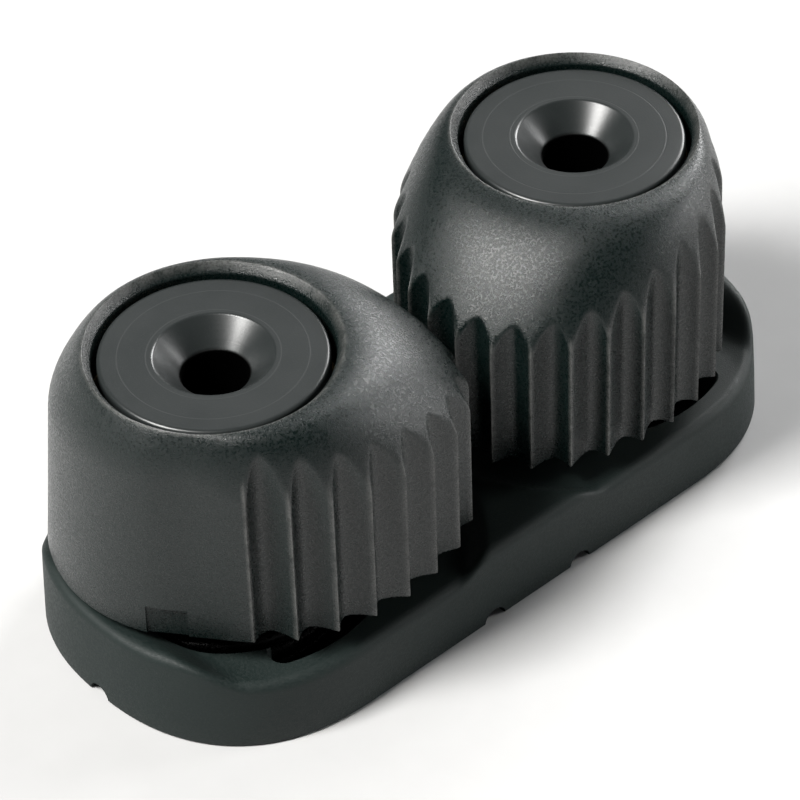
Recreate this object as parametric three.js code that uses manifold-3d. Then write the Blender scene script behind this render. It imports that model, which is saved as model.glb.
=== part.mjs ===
// Cam cleat: two spring-closed cams on double ball rows, standing on one long oval base.
// Millimetres, +Z up. The origin is the centre of the base's underside, X runs through the
// two screw holes, -Y is the tail side that the bevelled flanks and opening noses face.

import * as THREE from 'three';
import { mergeVertices } from 'three/addons/utils/BufferGeometryUtils.js';
import Module from 'manifold-3d';

// Driving dimensions
const HOLE_SPACING = 38;
const PIVOT_X = HOLE_SPACING / 2;
const GAP = 0.3;

const BASE_HALF_LENGTH = 32.8;
const BASE_HALF_WIDTH = 15.4;
const BASE_STRAIGHT = 17.5;
const BASE_END_POWER = 2.35;
const BASE_TOP_Z = 7.1;
const BASE_EDGE = 0.9;
const BASE_DRAFT = 0.25;
const SWEEP_FLOOR_Z = 6.0;
const SWEEP_RADIUS = 19.1;
const RIM_INNER_RADIUS = 12.1;
const RIM_HALF_ANGLE = 30;
const RIM_BLEND_ANGLE = 35;

const WELL_INNER_RADIUS = 7.2;
const WELL_OUTER_RADIUS = 10.8;
const WELL_FLOOR_Z = 0.9;
const SLOT_INNER_RADIUS = 10.5;
const SLOT_OUTER_RADIUS = 12.9;
const SLOT_FLOOR_Z = 2.4;
const SLOT_FROM = -115;
const SLOT_TO = -22;

const DRAIN_RADIUS = 1.1;
const DRAIN_X = 4.7;
const POCKET_FROM_X = 2;
const POCKET_TO_X = 7;
const POCKET_HALF_WIDTH = 11;
const POCKET_HEIGHT = 2;

const SCREW_RADIUS = 2.6;
const SINK_RADIUS = 4.7;
const SPIGOT_RADIUS = 4.2;
const SPIGOT_Z = 1.2;
const STEM_RADIUS = 5.5;
const DISC_RADIUS = 8.9;
const DISC_BOTTOM_Z = 25.1;
const DISC_TOP_Z = 27.1;
const DISC_EDGE = 0.3;

const BALL_RADIUS = 2;
const BALL_CLEARANCE = 0.1;
const BALL_CIRCLE = STEM_RADIUS + BALL_CLEARANCE + BALL_RADIUS;
const BALLS_PER_ROW = 11;
const RACE_RADIUS = BALL_CIRCLE + BALL_RADIUS + BALL_CLEARANCE;
const WASHER_Z = SWEEP_FLOOR_Z + GAP;
const WASHER_THICKNESS = 1.5;
const WASHER_RADIUS = 9.4;
const LOWER_ROW_Z = WASHER_Z + WASHER_THICKNESS + BALL_CLEARANCE + BALL_RADIUS;
const UPPER_ROW_Z = DISC_BOTTOM_Z - BALL_CLEARANCE - BALL_RADIUS;

const CAM_BOTTOM_Z = 8.4;
const CAM_TOP_Z = 27.9;
const CAM_BORE_RADIUS = STEM_RADIUS + 0.6;
const RIM_RADIUS = RACE_RADIUS + 0.25;
const KEEPER_RADIUS = 9.35;
const KEEPER_BOTTOM_Z = 25.5;
const KEEPER_TOP_Z = 27.15;
const TAIL_SIDE_FALL = 3.3;
const TAIL_SIDE_ROUNDNESS = 1.2;
const FLUTE_PITCH = 3.2;
const FLUTE_DEPTH = 1.35;
const FLUTE_FROM = { left: -121, right: -129 };
const FLUTE_TO = 72;

// Cam outline at its foot: radius every 20 degrees from -180, over the tips of the teeth
const CAM_RADII = [
  12.95, 12.4, 11.8, 12.6, 14.0, 15.4, 17.2, 19.3, 19.5,
  18.0, 16.0, 14.4, 13.8, 14.1, 14.5, 14.4, 14.05, 13.5,
];
const BARREL_DRAFT = 0.085;
const BARREL_DRAFT_ANGLE = 145;
const CAM_LEVELS = [CAM_BOTTOM_Z, 22, 23, 24, 25, 25.9, 26.7, 27.4, CAM_TOP_Z];

const LUG_ANGLE = -40.5;
const LUG_RADIUS = 11.7;
const LUG_WIDTH = 2;
const LUG_THICKNESS = 1.4;
const LUG_BOTTOM_Z = 3;
const WINDOW_ANGLE = -152.7;
const WINDOW_WIDTH = 3.3;
const WINDOW_HEIGHT = 2.75;
const WINDOW_DEPTH = 0.35;

const WIRE_RADIUS = 0.6;
const SPRING_RADIUS = 9;
const SPRING_BOTTOM_Z = 1.9;
const SPRING_PITCH = 1.45;
const SPRING_TURNS = 2.3;
const LEG_ANGLE = -28;
const LEG_RADIUS = 11.7;
const LEG_TOP_Z = 10.4;

const wasm = await Module();
wasm.setup();

const rad = THREE.MathUtils.degToRad;

// Solids from closed geometries, and back
function solid(geometry) {
  const bare = geometry.index ? geometry.toNonIndexed() : geometry.clone();
  bare.deleteAttribute('normal');
  bare.deleteAttribute('uv');
  const merged = mergeVertices(bare, 1e-4);
  const triangles = [];
  const index = merged.index.array;
  for (let i = 0; i < index.length; i += 3) {
    const [a, b, c] = [index[i], index[i + 1], index[i + 2]];
    if (a !== b && b !== c && c !== a) triangles.push(a, b, c);
  }
  return new wasm.Manifold(new wasm.Mesh({
    numProp: 3,
    vertProperties: new Float32Array(merged.attributes.position.array),
    triVerts: new Uint32Array(triangles),
  }));
}

function geometryOf(body) {
  const { vertProperties, triVerts } = body.getMesh();
  const geometry = new THREE.BufferGeometry();
  geometry.setAttribute('position', new THREE.BufferAttribute(vertProperties.slice(), 3));
  geometry.setIndex(new THREE.BufferAttribute(triVerts.slice(), 1));
  return geometry;
}

function mirrored(geometry) {
  const copy = geometry.clone().scale(-1, 1, 1);
  const index = copy.index.array;
  for (let i = 0; i < index.length; i += 3) {
    [index[i], index[i + 1]] = [index[i + 1], index[i]];
  }
  return copy;
}

// Simple closed shapes
function polar(radius, degrees) {
  return new THREE.Vector2(radius * Math.cos(rad(degrees)), radius * Math.sin(rad(degrees)));
}

function prism(shape, fromZ, toZ, curveSegments = 24) {
  const geometry = new THREE.ExtrudeGeometry(shape, {
    depth: toZ - fromZ,
    bevelEnabled: false,
    curveSegments,
  });
  return geometry.translate(0, 0, fromZ);
}

function cylinder(radius, fromZ, toZ, segments = 36) {
  const geometry = new THREE.CylinderGeometry(radius, radius, toZ - fromZ, segments);
  return geometry.rotateX(Math.PI / 2).translate(0, 0, (fromZ + toZ) / 2);
}

function box(fromX, toX, fromY, toY, fromZ, toZ) {
  const geometry = new THREE.BoxGeometry(toX - fromX, toY - fromY, toZ - fromZ);
  return geometry.translate((fromX + toX) / 2, (fromY + toY) / 2, (fromZ + toZ) / 2);
}

function turned(profile, segments = 36) {
  const points = profile.map(([r, z]) => new THREE.Vector2(r, z));
  const geometry = new THREE.LatheGeometry([...points, points[0]], segments);
  return geometry.rotateX(Math.PI / 2);
}

// Base
function baseOutline() {
  const points = [];
  const perEnd = 24;
  for (const side of [1, -1]) {
    for (let i = 0; i <= perEnd; i += 1) {
      const angle = Math.PI * (i / perEnd - 0.5);
      const reach = Math.cos(angle) ** (2 / BASE_END_POWER) || 0;
      const across = Math.abs(Math.sin(angle)) ** (2 / BASE_END_POWER) * Math.sign(angle);
      const x = BASE_STRAIGHT + (BASE_HALF_LENGTH - BASE_EDGE - BASE_STRAIGHT) * reach;
      points.push(new THREE.Vector2(side * x, side * (BASE_HALF_WIDTH - BASE_EDGE) * across));
    }
  }
  return new THREE.Shape(points);
}

function sweepOutline() {
  const shape = new THREE.Shape();
  const wide = 180 - RIM_HALF_ANGLE - RIM_BLEND_ANGLE;
  const narrow = 180 - RIM_HALF_ANGLE;
  shape.absarc(0, 0, SWEEP_RADIUS, rad(-wide), rad(wide), false);
  shape.absarc(0, 0, RIM_INNER_RADIUS, rad(narrow), rad(360 - narrow), false);
  shape.closePath();
  return shape;
}

function slotOutline() {
  const shape = new THREE.Shape();
  const middle = (SLOT_INNER_RADIUS + SLOT_OUTER_RADIUS) / 2;
  const half = (SLOT_OUTER_RADIUS - SLOT_INNER_RADIUS) / 2;
  const inset = THREE.MathUtils.radToDeg(half / middle);
  const first = SLOT_FROM + inset;
  const last = SLOT_TO - inset;
  const firstEnd = polar(middle, first);
  const lastEnd = polar(middle, last);
  shape.absarc(0, 0, SLOT_OUTER_RADIUS, rad(first), rad(last), false);
  shape.absarc(lastEnd.x, lastEnd.y, half, rad(last), rad(last + 180), false);
  shape.absarc(0, 0, SLOT_INNER_RADIUS, rad(last), rad(first), true);
  shape.absarc(firstEnd.x, firstEnd.y, half, rad(first + 180), rad(first + 360), false);
  return shape;
}

function baseSideCuts() {
  const above = BASE_TOP_Z + 1;
  const well = solid(cylinder(WELL_OUTER_RADIUS, WELL_FLOOR_Z, above))
    .subtract(solid(cylinder(WELL_INNER_RADIUS, 0, SWEEP_FLOOR_Z)));
  const bore = solid(cylinder(SPIGOT_RADIUS + GAP, SPIGOT_Z - GAP, above));
  const screwHole = solid(cylinder(SCREW_RADIUS, -1, above, 24));
  const sweep = solid(prism(sweepOutline(), SWEEP_FLOOR_Z, above, 16));
  const slot = solid(prism(slotOutline(), SLOT_FLOOR_Z, above, 8));
  const drain = cylinder(DRAIN_RADIUS, 0, BASE_HALF_LENGTH, 16).rotateY(-Math.PI / 2);
  const reach = BASE_HALF_LENGTH - PIVOT_X + 1;
  const endDrain = solid(drain).intersect(solid(box(-reach, -SPRING_RADIUS - 1, -5, 5, -5, 5)));
  return sweep.add(well).add(bore).add(screwHole).add(slot).add(endDrain);
}

function baseGeometry() {
  const slab = new THREE.ExtrudeGeometry(baseOutline(), {
    depth: BASE_TOP_Z,
    bevelThickness: BASE_EDGE,
    bevelSize: BASE_EDGE,
    bevelSegments: 3,
  });
  slab.translate(0, 0, -BASE_EDGE);
  const position = slab.attributes.position;
  for (let i = 0; i < position.count; i += 1) {
    const draft = BASE_DRAFT * Math.max(0, position.getZ(i)) / BASE_TOP_Z;
    position.setX(i, position.getX(i) * (1 - draft / BASE_HALF_LENGTH));
    position.setY(i, position.getY(i) * (1 - draft / BASE_HALF_WIDTH));
  }
  let body = solid(slab).intersect(solid(box(-40, 40, -20, 20, 0, BASE_TOP_Z)));
  const cuts = geometryOf(baseSideCuts());
  body = body.subtract(solid(cuts.clone().translate(-PIVOT_X, 0, 0)));
  body = body.subtract(solid(mirrored(cuts).translate(PIVOT_X, 0, 0)));
  for (const side of [-1, 1]) {
    const inner = side * POCKET_FROM_X;
    const outer = side * POCKET_TO_X;
    const [fromX, toX] = [Math.min(inner, outer), Math.max(inner, outer)];
    body = body.subtract(
      solid(box(fromX, toX, -POCKET_HALF_WIDTH, POCKET_HALF_WIDTH, -1, POCKET_HEIGHT)));
    const channel = cylinder(DRAIN_RADIUS, -20, 20, 16).rotateX(Math.PI / 2);
    body = body.subtract(solid(channel.translate(side * DRAIN_X, 0, 0)));
  }
  return geometryOf(body);
}

// Cam
const radiusCurve = new THREE.SplineCurve(
  [-1, ...CAM_RADII.keys(), CAM_RADII.length, CAM_RADII.length + 1].map((i) => {
    const count = CAM_RADII.length;
    return new THREE.Vector2(i, CAM_RADII[(i + count) % count]);
  }));

function tipRadius(degrees) {
  const step = 360 / CAM_RADII.length;
  const turns = ((degrees + 180) % 360 + 360) % 360;
  return radiusCurve.getPoint((turns / step + 1) / (CAM_RADII.length + 2)).y;
}

// Angles of the tooth tips, one pitch of arc apart; the two cams' teeth are half a pitch out of step
function toothAngles(from) {
  const tips = [from];
  while (tips.at(-1) < FLUTE_TO) {
    const here = tips.at(-1);
    const radius = tipRadius(here);
    const rise = (tipRadius(here + 1) - radius) / rad(1);
    tips.push(here + THREE.MathUtils.radToDeg(FLUTE_PITCH / Math.hypot(radius, rise)));
  }
  return tips;
}

function camOutline(flutesFrom) {
  const tips = toothAngles(flutesFrom);
  const perFlute = 5;
  const points = [];
  for (let tooth = 0; tooth < tips.length - 1; tooth += 1) {
    for (let i = 0; i < perFlute; i += 1) {
      const across = i / perFlute;
      const angle = THREE.MathUtils.lerp(tips[tooth], tips[tooth + 1], across);
      const depth = FLUTE_DEPTH * 4 * across * (1 - across);
      points.push({ angle, radius: tipRadius(angle) - depth });
    }
  }
  const smoothFrom = tips.at(-1);
  const smoothTo = tips[0] + 360;
  const smoothSteps = 22;
  for (let i = 0; i < smoothSteps; i += 1) {
    const angle = THREE.MathUtils.lerp(smoothFrom, smoothTo, i / smoothSteps);
    points.push({ angle, radius: tipRadius(angle) });
  }
  return points;
}

// The smooth barrel leans in as it rises; the teeth stand upright
function lean(angle, z) {
  const share = Math.max(0, 0.1 + 0.9 * Math.cos(rad(angle - BARREL_DRAFT_ANGLE)));
  return BARREL_DRAFT * share * (z - CAM_BOTTOM_Z);
}

// The shoulder falls from the rim to the tips: nearly conical on the barrel side, deep and
// round over the teeth of the tail side
function shoulderRadius(angle, z) {
  const { smoothstep, euclideanModulo } = THREE.MathUtils;
  const turn = euclideanModulo(angle + 180, 360) - 180;
  const tailSide = smoothstep(turn, -140, -112);
  const fall = 4.3 + 1.8 * Math.cos(rad(turn - 60))
    + TAIL_SIDE_FALL * tailSide * (1 - smoothstep(turn, -30, 25));
  const roundness = 1.55 + 0.35 * Math.cos(rad(turn))
    + TAIL_SIDE_ROUNDNESS * tailSide * (1 - smoothstep(turn, -90, -20));
  const foot = CAM_TOP_Z - fall;
  const wall = tipRadius(angle) - lean(angle, Math.min(z, foot));
  const share = Math.min(1, (CAM_TOP_Z - z) / fall);
  return RIM_RADIUS + (wall - RIM_RADIUS) * share ** (1 / roundness);
}

function camBlank(flutesFrom) {
  const outline = camOutline(flutesFrom);
  const shape = new THREE.Shape(outline.map(({ angle, radius }) => polar(radius, angle)));
  const steps = CAM_LEVELS.length - 1;
  const blank = new THREE.ExtrudeGeometry(shape, { depth: steps, steps, bevelEnabled: false });
  const position = blank.attributes.position;
  for (let i = 0; i < position.count; i += 1) {
    const [x, y] = [position.getX(i), position.getY(i)];
    const z = CAM_LEVELS[Math.round(position.getZ(i))];
    const radius = Math.hypot(x, y);
    const angle = THREE.MathUtils.radToDeg(Math.atan2(y, x));
    const limited = Math.min(radius - lean(angle, z), shoulderRadius(angle, z));
    position.setXYZ(i, x * limited / radius, y * limited / radius, z);
  }
  return solid(blank);
}

function camGeometry(flutesFrom) {
  const lowerShelf = LOWER_ROW_Z + BALL_RADIUS + BALL_CLEARANCE;
  const upperShelf = UPPER_ROW_Z - BALL_RADIUS - BALL_CLEARANCE;
  const lowerRace = solid(cylinder(RACE_RADIUS, CAM_BOTTOM_Z - 1, lowerShelf));
  const upperRace = solid(turned([
    [CAM_BORE_RADIUS - 1, upperShelf],
    [RACE_RADIUS, upperShelf],
    [RACE_RADIUS, KEEPER_BOTTOM_Z - 0.3],
    [KEEPER_RADIUS, KEEPER_BOTTOM_Z],
    [KEEPER_RADIUS, KEEPER_TOP_Z],
    [RIM_RADIUS - 0.1, CAM_TOP_Z],
    [RIM_RADIUS - 0.1, CAM_TOP_Z + 1],
    [CAM_BORE_RADIUS - 1, CAM_TOP_Z + 1],
  ]));
  const bore = solid(cylinder(CAM_BORE_RADIUS, CAM_BOTTOM_Z, CAM_TOP_Z + 1));
  const lug = box(-LUG_THICKNESS / 2, LUG_THICKNESS / 2, -LUG_WIDTH / 2, LUG_WIDTH / 2,
    LUG_BOTTOM_Z, CAM_BOTTOM_Z + 1);
  lug.translate(LUG_RADIUS, 0, 0).rotateZ(rad(LUG_ANGLE));
  const legHole = cylinder(WIRE_RADIUS + GAP, CAM_BOTTOM_Z - 1, LEG_TOP_Z + GAP, 12);
  const legPlace = polar(LEG_RADIUS, LEG_ANGLE);
  legHole.translate(legPlace.x, legPlace.y, 0);
  const radius = tipRadius(WINDOW_ANGLE);
  const rise = (tipRadius(WINDOW_ANGLE + 1) - radius) / rad(1);
  const wall = polar(radius - lean(WINDOW_ANGLE, CAM_BOTTOM_Z + WINDOW_HEIGHT / 2), WINDOW_ANGLE);
  const pane = box(-WINDOW_DEPTH, 1, -WINDOW_WIDTH / 2, WINDOW_WIDTH / 2,
    CAM_BOTTOM_Z - 1, CAM_BOTTOM_Z + WINDOW_HEIGHT);
  pane.rotateZ(rad(WINDOW_ANGLE) - Math.atan2(rise, radius)).translate(wall.x, wall.y, 0);
  return geometryOf(camBlank(flutesFrom)
    .subtract(lowerRace)
    .subtract(upperRace)
    .subtract(bore)
    .subtract(solid(legHole))
    .subtract(solid(pane))
    .add(solid(lug)));
}

// Hub: a flanged spool that the deck screw clamps down through the base
function hubGeometry() {
  return turned([
    [SCREW_RADIUS, SPIGOT_Z],
    [SPIGOT_RADIUS, SPIGOT_Z],
    [SPIGOT_RADIUS, SWEEP_FLOOR_Z + GAP],
    [STEM_RADIUS, SWEEP_FLOOR_Z + GAP],
    [STEM_RADIUS, DISC_BOTTOM_Z],
    [DISC_RADIUS, DISC_BOTTOM_Z],
    [DISC_RADIUS, DISC_TOP_Z - DISC_EDGE],
    [DISC_RADIUS - DISC_EDGE, DISC_TOP_Z],
    [SINK_RADIUS, DISC_TOP_Z],
    [SCREW_RADIUS, DISC_TOP_Z - (SINK_RADIUS - SCREW_RADIUS)],
  ]);
}

function washerGeometry() {
  const inner = STEM_RADIUS + GAP;
  return turned([
    [inner, WASHER_Z],
    [WASHER_RADIUS, WASHER_Z],
    [WASHER_RADIUS, WASHER_Z + WASHER_THICKNESS],
    [inner, WASHER_Z + WASHER_THICKNESS],
  ], 32);
}

// Torsion spring: a coil in the base's well, with one leg turned up into the cam
function springGeometry() {
  const points = [];
  const perTurn = 14;
  const coilSteps = Math.round(SPRING_TURNS * perTurn);
  for (let i = 0; i <= coilSteps; i += 1) {
    const turns = i / perTurn;
    const place = polar(SPRING_RADIUS, LEG_ANGLE - 20 - 360 * (SPRING_TURNS - turns));
    points.push(new THREE.Vector3(place.x, place.y, SPRING_BOTTOM_Z + SPRING_PITCH * turns));
  }
  const top = SPRING_BOTTOM_Z + SPRING_PITCH * SPRING_TURNS;
  const out = polar((SPRING_RADIUS + LEG_RADIUS) / 2 + 0.4, LEG_ANGLE - 5);
  const leg = polar(LEG_RADIUS, LEG_ANGLE);
  points.push(new THREE.Vector3(out.x, out.y, top + 0.2));
  points.push(new THREE.Vector3(leg.x, leg.y, top + 1.2));
  points.push(new THREE.Vector3(leg.x, leg.y, (top + LEG_TOP_Z) / 2 + 1));
  points.push(new THREE.Vector3(leg.x, leg.y, LEG_TOP_Z));
  const section = new THREE.Shape();
  section.absarc(0, 0, WIRE_RADIUS, 0, 2 * Math.PI, false);
  return new THREE.ExtrudeGeometry(section, {
    steps: coilSteps + 10,
    curveSegments: 6,
    bevelEnabled: false,
    extrudePath: new THREE.CatmullRomCurve3(points),
  });
}

// Materials
function plastic(color, roughness) {
  return new THREE.MeshStandardMaterial({ color, roughness, metalness: 0 });
}

function steel() {
  return new THREE.MeshStandardMaterial({ color: 0x9a9c9e, roughness: 0.3, metalness: 1 });
}

function piece(name, geometry, material) {
  const mesh = new THREE.Mesh(geometry, material);
  mesh.name = name;
  return mesh;
}

function ballRow(name, z) {
  const row = new THREE.Group();
  row.position.z = z;
  for (let i = 0; i < BALLS_PER_ROW; i += 1) {
    const geometry = new THREE.SphereGeometry(BALL_RADIUS, 8, 6);
    const ball = piece(`${name}_${i + 1}`, geometry, plastic(0xd8d2bd, 0.35));
    const place = polar(BALL_CIRCLE, i * 360 / BALLS_PER_ROW);
    ball.position.set(place.x, place.y, 0);
    row.add(ball);
  }
  return row;
}

// Assembly
const group = new THREE.Group();
group.add(piece('base', baseGeometry(), plastic(0x2d3231, 0.8)));

const spring = geometryOf(solid(springGeometry()));
for (const [side, x, place] of [['left', -PIVOT_X, (g) => g], ['right', PIVOT_X, mirrored]]) {
  const station = new THREE.Group();
  station.position.x = x;
  station.add(piece(`hub_${side}`, hubGeometry(), plastic(0x4b4e4e, 0.45)));
  station.add(piece(`lower_race_${side}`, washerGeometry(), steel()));
  const cam = camGeometry(FLUTE_FROM[side]);
  station.add(piece(`cam_${side}`, place(cam), plastic(0x262726, 0.55)));
  station.add(piece(`spring_${side}`, place(spring), steel()));
  station.add(ballRow(`ball_${side}_upper`, UPPER_ROW_Z));
  station.add(ballRow(`ball_${side}_lower`, LOWER_ROW_Z));
  group.add(station);
}

export default group;
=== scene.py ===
"""Cam cleat: the fine mouldings, finishes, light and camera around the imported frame.

Lengths in this script are in millimetres and angles in degrees until a vertex is placed.
"""

import math

import bmesh
import bpy
from mathutils import Matrix, Vector


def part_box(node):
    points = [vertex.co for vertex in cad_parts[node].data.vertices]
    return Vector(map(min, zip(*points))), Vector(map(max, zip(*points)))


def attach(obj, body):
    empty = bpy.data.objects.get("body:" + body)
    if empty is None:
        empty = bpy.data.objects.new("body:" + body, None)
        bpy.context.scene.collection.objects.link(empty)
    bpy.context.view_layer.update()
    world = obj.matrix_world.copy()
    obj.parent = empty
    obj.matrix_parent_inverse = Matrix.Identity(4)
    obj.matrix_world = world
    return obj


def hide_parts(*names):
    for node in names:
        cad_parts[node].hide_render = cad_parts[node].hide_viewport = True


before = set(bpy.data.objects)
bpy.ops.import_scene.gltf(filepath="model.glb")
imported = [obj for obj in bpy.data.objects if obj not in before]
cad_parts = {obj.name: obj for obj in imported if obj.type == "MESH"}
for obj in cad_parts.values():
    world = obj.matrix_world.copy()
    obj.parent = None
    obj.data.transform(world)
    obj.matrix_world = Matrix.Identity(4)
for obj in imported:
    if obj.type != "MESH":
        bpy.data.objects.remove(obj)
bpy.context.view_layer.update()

MM = 0.001
PIVOT_X = 19.0
SIDES = {"left": -1, "right": 1}

# Base
BASE_HALF_LENGTH = 32.8
BASE_HALF_WIDTH = 15.4
BASE_STRAIGHT = 17.5
BASE_END_POWER = 2.35
BASE_TOP_Z = 7.1
BASE_EDGE = 0.95
BASE_FOOT_EDGE = 0.25
BASE_DRAFT = 0.25
SWEEP_FLOOR_Z = 6.0
SWEEP_RADIUS = 19.1
RIM_INNER_RADIUS = 12.1
RIM_FROM = 95
RIM_TO = 150
LIP_WIDTH = 2.2
RAMP_WIDTH = 8.0
END_RISE = 1.4
END_RISE_X = (27.5, 31.0)
BASE_END_POINTS = 150
BASE_SIDE_POINTS = 90
WELL_RADII = (7.2, 10.8)
WELL_FLOOR_Z = 0.9
SLOT_RADII = (10.5, 12.9)
SLOT_FLOOR_Z = 2.4
SLOT_ENDS = (-115, -22)
DRAIN_RADIUS = 1.1
DRAIN_X = 4.7
POCKET = (2, 7, 11, 2)

# Hub, washer and balls
SCREW_RADIUS = 2.6
SINK_RADIUS = 4.7
SPIGOT_RADIUS = 4.2
SPIGOT_Z = 1.2
STEM_RADIUS = 5.5
DISC_RADIUS = 8.9
DISC_BOTTOM_Z = 25.1
DISC_TOP_Z = 27.1
BALL_RADIUS = 2.0
BALL_CIRCLE = 7.6
BALLS_PER_ROW = 11
WASHER = (5.8, 9.4, 6.3, 7.8)
ROWS = {"lower": 9.9, "upper": 23.0}

# Cam
CAM_BOTTOM_Z = 8.4
CAM_TOP_Z = 27.9
CAM_BORE_RADIUS = 6.1
RACE_RADIUS = 9.7
RIM_RADIUS = 9.95
KEEPER_RADIUS = 9.35
KEEPER_Z = (25.5, 27.15)
LOWER_SHELF_Z = 12.0
UPPER_SHELF_Z = 20.9
CAM_RADII = (
    12.95, 12.4, 11.8, 12.6, 14.0, 15.4, 17.2, 19.3, 19.5,
    18.0, 16.0, 14.4, 13.8, 14.1, 14.5, 14.4, 14.05, 13.5,
)
FLUTE_PITCH = 3.2
FLUTE_DEPTH = 1.35
FLUTE_FROM = {"left": -121, "right": -129}
FLUTE_TO = 72
RIDGE_ROUNDING = 0.14
BARREL_DRAFT = 0.085
BARREL_DRAFT_ANGLE = 145
COLUMNS_PER_FLUTE = 16
BARREL_COLUMNS = 130
SHOULDER_ROWS = 26
TAIL_SIDE_FALL = 3.3
TAIL_SIDE_ROUNDNESS = 1.2
LUG = (-40.5, 11.7, 1.4, 2.0, 3.0)
WINDOW = (-152.7, 3.3, 2.75, 0.35)

# Spring
WIRE_RADIUS = 0.6
SPRING_RADIUS = 9.0
SPRING_BOTTOM_Z = 1.9
SPRING_PITCH = 1.45
SPRING_TURNS = 2.3
LEG_ANGLE = -28
LEG_RADIUS = 11.7
LEG_TOP_Z = 10.4


# Hands
def put_down():
    """Leaves edit mode and lets go of every piece."""
    if bpy.context.mode != "OBJECT":
        bpy.ops.object.mode_set(mode="OBJECT")
    bpy.ops.object.select_all(action="DESELECT")


def pick_up(piece):
    put_down()
    piece.select_set(True)
    bpy.context.view_layer.objects.active = piece


def place_ring(piece, points):
    """Moves the newest ring of vertices to its points, in millimetres."""
    mesh = bmesh.from_edit_mesh(piece.data)
    mesh.verts.ensure_lookup_table()
    column = mesh.verts.layers.int["column"]
    for vert in mesh.verts[-len(points):]:
        vert.co = Vector(points[vert[column]]) * MM
    bmesh.update_edit_mesh(piece.data)


def lofted(name, rings, around=False):
    """Draws one ring and extrudes it from section to section.

    around: the last section is the first one again, so the skin closes on itself;
    otherwise both ends are filled."""
    put_down()
    bpy.ops.mesh.primitive_circle_add(vertices=len(rings[0]), radius=MM, location=(0, 0, 0))
    piece = bpy.context.object
    piece.name = piece.data.name = name
    bpy.ops.object.mode_set(mode="EDIT")
    mesh = bmesh.from_edit_mesh(piece.data)
    column = mesh.verts.layers.int.new("column")
    for number, vert in enumerate(mesh.verts):
        vert[column] = number
    place_ring(piece, rings[0])
    for ring in rings[1:]:
        bpy.ops.mesh.extrude_edges_indiv()
        place_ring(piece, ring)
    if not around:
        bpy.ops.mesh.edge_face_add()
        bpy.ops.mesh.select_all(action="DESELECT")
        mesh = bmesh.from_edit_mesh(piece.data)
        for edge in mesh.edges:
            edge.select_set(edge.is_boundary)
        bmesh.update_edit_mesh(piece.data)
        bpy.ops.mesh.edge_face_add()
    bpy.ops.mesh.select_all(action="SELECT")
    bpy.ops.mesh.remove_doubles(threshold=2e-6)
    bpy.ops.mesh.normals_make_consistent(inside=False)
    put_down()
    piece.data.attributes.remove(piece.data.attributes["column"])
    return piece


def turned(name, section, centre_x=0.0, steps=112):
    """Shapes a ring of vertices into a closed section (radius, z) and spins it."""
    put_down()
    bpy.ops.mesh.primitive_circle_add(vertices=len(section), radius=MM, location=(0, 0, 0))
    piece = bpy.context.object
    piece.name = piece.data.name = name
    bpy.ops.object.mode_set(mode="EDIT")
    mesh = bmesh.from_edit_mesh(piece.data)
    for vert, (radius, z) in zip(mesh.verts, section):
        vert.co = Vector((centre_x + radius, 0, z)) * MM
    bmesh.update_edit_mesh(piece.data)
    bpy.ops.mesh.select_all(action="SELECT")
    bpy.ops.mesh.spin(steps=steps, angle=2 * math.pi, center=(centre_x * MM, 0, 0),
                      axis=(0, 0, 1))
    bpy.ops.mesh.select_all(action="SELECT")
    bpy.ops.mesh.remove_doubles(threshold=2e-6)
    bpy.ops.mesh.normals_make_consistent(inside=False)
    put_down()
    return piece


def block(name, size, place, turn=0.0, edge=0.0):
    """A bevelled block: size and place in millimetres, turned about the vertical."""
    put_down()
    bpy.ops.mesh.primitive_cube_add(size=1, location=(0, 0, 0))
    piece = bpy.context.object
    piece.name = piece.data.name = name
    bpy.ops.object.mode_set(mode="EDIT")
    bpy.ops.mesh.select_all(action="SELECT")
    bpy.ops.transform.resize(value=[part * MM for part in size])
    if edge:
        bpy.ops.mesh.bevel(offset=edge * MM, segments=3, affect="EDGES")
    put_down()
    piece.data.transform(Matrix.Rotation(math.radians(turn), 4, "Z"))
    piece.data.transform(Matrix.Translation(Vector(place) * MM))
    return piece


def combine(piece, tool, operation):
    """Cuts the tool away from the piece, or adds it, and puts the tool away."""
    pick_up(piece)
    step = piece.modifiers.new("combine", "BOOLEAN")
    step.operation = operation
    step.solver = "EXACT"
    step.object = tool
    bpy.ops.object.modifier_apply(modifier=step.name)
    bpy.data.objects.remove(tool)


def smooth(piece, degrees=40):
    pick_up(piece)
    bpy.ops.object.shade_smooth_by_angle(angle=math.radians(degrees))
    put_down()


# Sections
def polar(radius, degrees, z=0.0):
    turn = math.radians(degrees)
    return (radius * math.cos(turn), radius * math.sin(turn), z)


def rounded(points, radius, steps=4):
    """Rounds the corners of a closed section; radius is one number or one for each."""
    radii = [radius] * len(points) if isinstance(radius, (int, float)) else radius
    result = []
    for number, corner in enumerate(points):
        here = Vector(corner)
        before = Vector(points[number - 1]) - here
        after = Vector(points[(number + 1) % len(points)]) - here
        cut = min(radii[number], 0.48 * before.length, 0.48 * after.length)
        if cut <= 0:
            result.append(tuple(here))
            continue
        start = here + before.normalized() * cut
        end = here + after.normalized() * cut
        for step in range(steps + 1):
            t = step / steps
            result.append(tuple(start * (1 - t) ** 2 + here * 2 * t * (1 - t) + end * t * t))
    return result


def blend_over(value, low, high):
    """0 below low, 1 above high, and a smooth change between them."""
    t = min(1.0, max(0.0, (value - low) / (high - low)))
    return t * t * (3 - 2 * t)


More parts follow.
